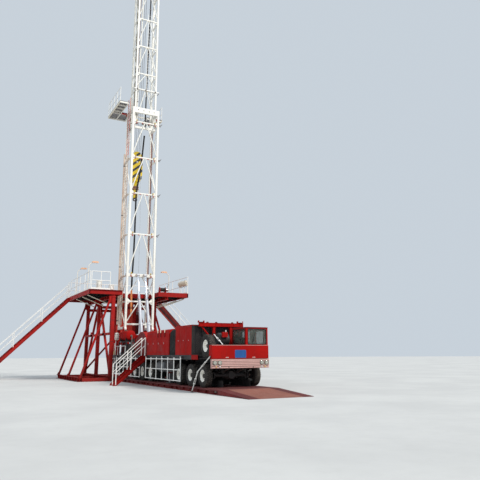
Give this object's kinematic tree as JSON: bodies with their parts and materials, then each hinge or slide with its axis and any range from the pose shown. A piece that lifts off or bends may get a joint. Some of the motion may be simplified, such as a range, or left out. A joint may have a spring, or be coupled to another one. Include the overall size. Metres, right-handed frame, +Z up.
{
  "type": "truck mounted workover rig",
  "caption": "Six axle workover rig on a base mat: telescoping mast raised behind the truck, folding mast board, hanging block, raised drill floor with stairs.",
  "frame": {"origin": "bottom centre of the whole rig's bounding box, on the ground", "axes": "-Y towards the truck's front, +X towards the truck's left side, +Z up"},
  "size_m": [18.88, 25.155, 34.5183],
  "materials": {
    "signal_red": "gloss paint, slightly dulled",
    "mat_red": "worn paint",
    "mast_white": "satin paint",
    "chassis_black": "satin paint, dusty",
    "tyre": "worn rubber with white rims",
    "bare_steel": "worn",
    "chrome_rod": "polished",
    "grille_pink": "faded white over red",
    "lamp_glass": "clear lens",
    "window_glass": "clear",
    "block_yellow": "gloss paint with black stripes",
    "ladder_tan": "weathered",
    "pipe_brown": "weathered",
    "lamp_orange": "gloss paint",
    "matt_black": "matt"
  },
  "bodies": {
    "root": {"base_mat": "mat_red", "chassis": "chassis_black", "axles": "chassis_black", "cab": "signal_red", "cab_glass": "window_glass", "nose_panel": "signal_red", "bumper_grille": "grille_pink", "headlights": "lamp_glass", "spare_wheel": "tyre", "air_cleaner": "matt_black", "mast_rest": "signal_red", "engine": "chassis_black", "engine_house": "signal_red", "radiator": "chassis_black", "coupling_cover": "matt_black", "drawworks_hood": "signal_red", "mast_base": "signal_red", "side_stair": "signal_red", "substructure": "signal_red", "drill_floor": "signal_red", "floor_stairs": "signal_red", "floor_rails": "mast_white", "floor_lamps": "lamp_orange", "floor_locker": "mast_white"},
    "jack_legs_front": {"jack_legs_front": "bare_steel"},
    "jack_legs_rear": {"jack_legs_rear": "bare_steel"},
    "knuckle_1_right": {"knuckle_1_right": "chassis_black"},
    "knuckle_1_left": {"knuckle_1_left": "chassis_black"},
    "knuckle_2_right": {"knuckle_2_right": "chassis_black"},
    "knuckle_2_left": {"knuckle_2_left": "chassis_black"},
    "knuckle_3_right": {"knuckle_3_right": "chassis_black"},
    "knuckle_3_left": {"knuckle_3_left": "chassis_black"},
    "wheel_1_right": {"wheel_1_right": "tyre"},
    "wheel_1_left": {"wheel_1_left": "tyre"},
    "wheel_2_right": {"wheel_2_right": "tyre"},
    "wheel_2_left": {"wheel_2_left": "tyre"},
    "wheel_3_right": {"wheel_3_right": "tyre"},
    "wheel_3_left": {"wheel_3_left": "tyre"},
    "wheel_4_right": {"wheel_4_right": "tyre"},
    "wheel_4_left": {"wheel_4_left": "tyre"},
    "wheel_5_right": {"wheel_5_right": "tyre"},
    "wheel_5_left": {"wheel_5_left": "tyre"},
    "wheel_6_right": {"wheel_6_right": "tyre"},
    "wheel_6_left": {"wheel_6_left": "tyre"},
    "cab_door": {"cab_door": "signal_red"},
    "deck_rail_front_right": {"deck_rail_front_right": "mast_white"},
    "deck_rail_front_left": {"deck_rail_front_left": "mast_white"},
    "deck_rail_rear_right": {"deck_rail_rear_right": "mast_white"},
    "deck_rail_rear_left": {"deck_rail_rear_left": "mast_white"},
    "rotary_table": {"rotary_table": "bare_steel"},
    "cylinder_barrels": {"cylinder_barrels": "bare_steel"},
    "cylinder_stages": {"cylinder_stages": "chrome_rod"},
    "cylinder_rods": {"cylinder_rods": "chrome_rod"},
    "mast_lower": {"mast_lower": "mast_white", "mast_ladder": "ladder_tan", "standpipe": "pipe_brown", "travelling_block": "block_yellow"},
    "mast_upper": {"mast_upper": "mast_white", "crown_block": "mast_white"},
    "monkey_board": {"monkey_board": "mast_white"}
  },
  "joints": [
    {"name": "jacks_front", "type": "slide", "parent": "root", "child": "jack_legs_front", "axis": [0, 0, 1], "range_m": [0, 0.3]},
    {"name": "jacks_rear", "type": "slide", "parent": "root", "child": "jack_legs_rear", "axis": [0, 0, 1], "range_m": [0, 0.3]},
    {"name": "steer_1_right", "type": "hinge", "parent": "root", "child": "knuckle_1_right", "pos_m": [-0.93, -8.0625, 0.725], "axis": [0, 0, 1], "range_deg": [-30, 30]},
    {"name": "steer_1_left", "type": "hinge", "parent": "root", "child": "knuckle_1_left", "pos_m": [0.93, -8.0625, 0.725], "axis": [0, 0, 1], "range_deg": [-30, 30]},
    {"name": "steer_2_right", "type": "hinge", "parent": "root", "child": "knuckle_2_right", "pos_m": [-0.93, -6.6725, 0.725], "axis": [0, 0, 1], "range_deg": [-25.8, 25.8]},
    {"name": "steer_2_left", "type": "hinge", "parent": "root", "child": "knuckle_2_left", "pos_m": [0.93, -6.6725, 0.725], "axis": [0, 0, 1], "range_deg": [-25.8, 25.8]},
    {"name": "steer_3_right", "type": "hinge", "parent": "root", "child": "knuckle_3_right", "pos_m": [-0.93, -5.2425, 0.725], "axis": [0, 0, 1], "range_deg": [-21, 21]},
    {"name": "steer_3_left", "type": "hinge", "parent": "root", "child": "knuckle_3_left", "pos_m": [0.93, -5.2425, 0.725], "axis": [0, 0, 1], "range_deg": [-21, 21]},
    {"name": "spin_1_right", "type": "hinge", "parent": "knuckle_1_right", "child": "wheel_1_right", "pos_m": [-1.24, -8.0625, 0.725], "axis": [1, 0, 0], "continuous": true},
    {"name": "spin_1_left", "type": "hinge", "parent": "knuckle_1_left", "child": "wheel_1_left", "pos_m": [1.24, -8.0625, 0.725], "axis": [1, 0, 0], "continuous": true},
    {"name": "spin_2_right", "type": "hinge", "parent": "knuckle_2_right", "child": "wheel_2_right", "pos_m": [-1.24, -6.6725, 0.725], "axis": [1, 0, 0], "continuous": true},
    {"name": "spin_2_left", "type": "hinge", "parent": "knuckle_2_left", "child": "wheel_2_left", "pos_m": [1.24, -6.6725, 0.725], "axis": [1, 0, 0], "continuous": true},
    {"name": "spin_3_right", "type": "hinge", "parent": "knuckle_3_right", "child": "wheel_3_right", "pos_m": [-1.24, -5.2425, 0.725], "axis": [1, 0, 0], "continuous": true},
    {"name": "spin_3_left", "type": "hinge", "parent": "knuckle_3_left", "child": "wheel_3_left", "pos_m": [1.24, -5.2425, 0.725], "axis": [1, 0, 0], "continuous": true},
    {"name": "spin_4_right", "type": "hinge", "parent": "root", "child": "wheel_4_right", "pos_m": [-1.09, -1.0525, 0.725], "axis": [1, 0, 0], "continuous": true},
    {"name": "spin_4_left", "type": "hinge", "parent": "root", "child": "wheel_4_left", "pos_m": [1.09, -1.0525, 0.725], "axis": [1, 0, 0], "continuous": true},
    {"name": "spin_5_right", "type": "hinge", "parent": "root", "child": "wheel_5_right", "pos_m": [-1.09, 0.3375, 0.725], "axis": [1, 0, 0], "continuous": true},
    {"name": "spin_5_left", "type": "hinge", "parent": "root", "child": "wheel_5_left", "pos_m": [1.09, 0.3375, 0.725], "axis": [1, 0, 0], "continuous": true},
    {"name": "spin_6_right", "type": "hinge", "parent": "root", "child": "wheel_6_right", "pos_m": [-1.09, 1.7375, 0.725], "axis": [1, 0, 0], "continuous": true},
    {"name": "spin_6_left", "type": "hinge", "parent": "root", "child": "wheel_6_left", "pos_m": [1.09, 1.7375, 0.725], "axis": [1, 0, 0], "continuous": true},
    {"name": "cab_door_swing", "type": "hinge", "parent": "root", "child": "cab_door", "pos_m": [1.465, -8.8375, 2.2], "axis": [0, 0, -1], "range_deg": [0, 75]},
    {"name": "deck_rail_front_right_fold", "type": "hinge", "parent": "root", "child": "deck_rail_front_right", "pos_m": [-1.57, -3.3275, 1.54], "axis": [0, 1, 0], "range_deg": [0, 180]},
    {"name": "deck_rail_front_left_fold", "type": "hinge", "parent": "root", "child": "deck_rail_front_left", "pos_m": [1.57, -3.3275, 1.54], "axis": [0, -1, 0], "range_deg": [0, 180]},
    {"name": "deck_rail_rear_right_fold", "type": "hinge", "parent": "root", "child": "deck_rail_rear_right", "pos_m": [-1.57, 2.6925, 1.54], "axis": [0, 1, 0], "range_deg": [0, 180]},
    {"name": "deck_rail_rear_left_fold", "type": "hinge", "parent": "root", "child": "deck_rail_rear_left", "pos_m": [1.57, 2.6925, 1.54], "axis": [0, -1, 0], "range_deg": [0, 180]},
    {"name": "rotary_table_spin", "type": "hinge", "parent": "root", "child": "rotary_table", "pos_m": [0, 7.6775, 5.793], "axis": [0, 0, 1], "continuous": true},
    {"name": "mast_raise", "type": "hinge", "parent": "root", "child": "mast_lower", "pos_m": [0, 5.5275, 3.35], "axis": [1, 0, 0], "range_deg": [0, 90.8]},
    {"name": "mast_extend", "type": "slide", "parent": "mast_lower", "child": "mast_upper", "axis": [0, -0.014, -0.9999], "range_m": [0, 10.8]},
    {"name": "monkey_board_fold", "type": "hinge", "parent": "mast_lower", "child": "monkey_board", "pos_m": [0, 7.45576, 19.68467], "axis": [1, 0, 0], "range_deg": [0, 90]},
    {"name": "cylinder_tilt", "type": "hinge", "parent": "root", "child": "cylinder_barrels", "pos_m": [0, 3.7775, 1.79], "axis": [1, 0, 0], "range_deg": [0, 71.79]},
    {"name": "cylinder_stage_slide", "type": "slide", "parent": "cylinder_barrels", "child": "cylinder_stages", "axis": [0, -0.2885, -0.9575], "range_m": [0, 1.56279]},
    {"name": "cylinder_rod_slide", "type": "slide", "parent": "cylinder_stages", "child": "cylinder_rods", "axis": [0, -0.2885, -0.9575], "range_m": [0, 1.56279]}
  ],
  "couplings": [
    {"joint": "steer_1_left", "follows": "steer_1_right", "ratio": 1},
    {"joint": "steer_2_right", "follows": "steer_1_right", "ratio": 0.86},
    {"joint": "steer_2_left", "follows": "steer_1_right", "ratio": 0.86},
    {"joint": "steer_3_right", "follows": "steer_1_right", "ratio": 0.7},
    {"joint": "steer_3_left", "follows": "steer_1_right", "ratio": 0.7},
    {"joint": "cylinder_tilt", "follows": "mast_raise", "ratio": 0.79052},
    {"joint": "cylinder_stage_slide", "follows": "mast_raise", "m_per_rad": 0.98601},
    {"joint": "cylinder_rod_slide", "follows": "mast_raise", "m_per_rad": 0.98601}
  ]
}
